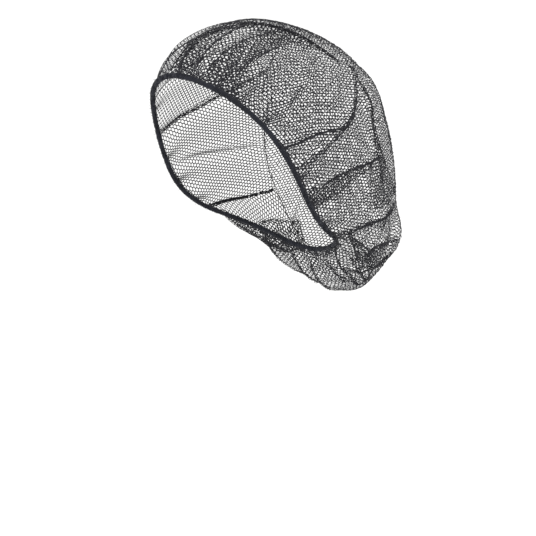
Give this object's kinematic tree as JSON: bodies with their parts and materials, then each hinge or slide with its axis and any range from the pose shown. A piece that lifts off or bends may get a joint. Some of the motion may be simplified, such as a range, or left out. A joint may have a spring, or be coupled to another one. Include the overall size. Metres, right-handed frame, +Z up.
{
  "type": "hairnet",
  "caption": "Worn hairnet: a fine net bag drawn over the skull and sagging behind it, gathered into an elastic edge.",
  "frame": {"origin": "on the outside of the net at the crown, where it bears on top of the head", "axes": "+Z up, the face side towards -Y, the wearer's left towards +X"},
  "size_m": [0.1558, 0.2296, 0.2396],
  "materials": {
    "black_net": "fine knotted nylon thread, satin black",
    "black_elastic": "thread-covered elastic, dull and fuzzy, black with a little blue"
  },
  "bodies": {
    "root": {"net_bag": "black_net", "elastic_edge": "black_elastic"}
  },
  "joints": []
}
